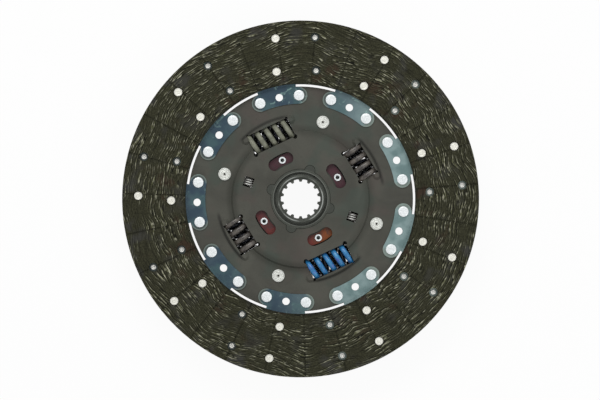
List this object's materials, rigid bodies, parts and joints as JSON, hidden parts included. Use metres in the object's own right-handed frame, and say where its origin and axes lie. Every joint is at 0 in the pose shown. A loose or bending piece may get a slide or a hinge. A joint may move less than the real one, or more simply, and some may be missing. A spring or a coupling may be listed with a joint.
{
  "type": "clutch disc",
  "caption": "Sprung clutch disc with two riveted friction facings on waved spring segments, open damper spring windows and a splined hub.",
  "frame": {"origin": "on the hub axis at the rear end of the hub, which is the face the disc rests on", "axes": "+Z along the hub axis towards the face with the rivet slots (the one in the picture); +X to the right and +Y up in the picture"},
  "size_m": [0.325, 0.325, 0.0405],
  "materials": {
    "friction_material": "matt, woven, dark olive with pale yarn",
    "blued_steel": "satin, tempered blue",
    "bright_rivets": "bright zinc",
    "phosphated_plate": "matt, dark phosphate",
    "sintered_bush": "matt, dark",
    "plain_steel": "satin",
    "olive_spring": "satin, olive grey",
    "blue_spring": "gloss, bright blue",
    "black_spring": "gloss, black",
    "navy_spring": "satin, dark navy",
    "dark_forging": "satin, oiled dark steel",
    "red_brown_plate": "satin, red brown"
  },
  "bodies": {
    "disc": {"front_facing": "friction_material", "rear_facing": "friction_material", "cushion_segment_1": "blued_steel", "cushion_segment_2": "blued_steel", "cushion_segment_3": "blued_steel", "cushion_segment_4": "blued_steel", "cushion_segment_5": "blued_steel", "cushion_segment_6": "blued_steel", "cushion_segment_7": "blued_steel", "cushion_segment_8": "blued_steel", "cushion_segment_9": "blued_steel", "front_facing_rivets": "bright_rivets", "rear_facing_rivets": "bright_rivets", "segment_rivets": "bright_rivets", "disc_plate": "phosphated_plate", "retainer_plate": "phosphated_plate", "stop_pins": "bright_rivets", "front_bush": "sintered_bush", "rear_bush": "sintered_bush", "thrust_washer": "plain_steel", "cone_spring": "plain_steel", "large_spring_olive": "olive_spring", "large_spring_blue": "blue_spring", "small_springs": "black_spring", "inner_springs": "navy_spring"},
    "flange": {"drive_flange": "dark_forging", "idle_cover_plate": "red_brown_plate", "idle_rivets": "bright_rivets", "idle_springs": "plain_steel"},
    "hub": {"splined_hub": "dark_forging", "idle_plate": "plain_steel"}
  },
  "joints": [
    {"name": "damper_turn", "type": "hinge", "parent": "disc", "child": "flange", "pos_m": [0, 0, 0.02415], "axis": [0, 0, 1], "range_deg": [-6.5, 9], "stiffness_Nm_per_rad": 60, "deforming": ["large_spring_olive", "large_spring_blue", "small_springs", "inner_springs"]},
    {"name": "idle_turn", "type": "hinge", "parent": "flange", "child": "hub", "pos_m": [0, 0, 0.02415], "axis": [0, 0, 1], "range_deg": [-3, 3], "stiffness_Nm_per_rad": 3, "deforming": ["idle_springs"]}
  ]
}
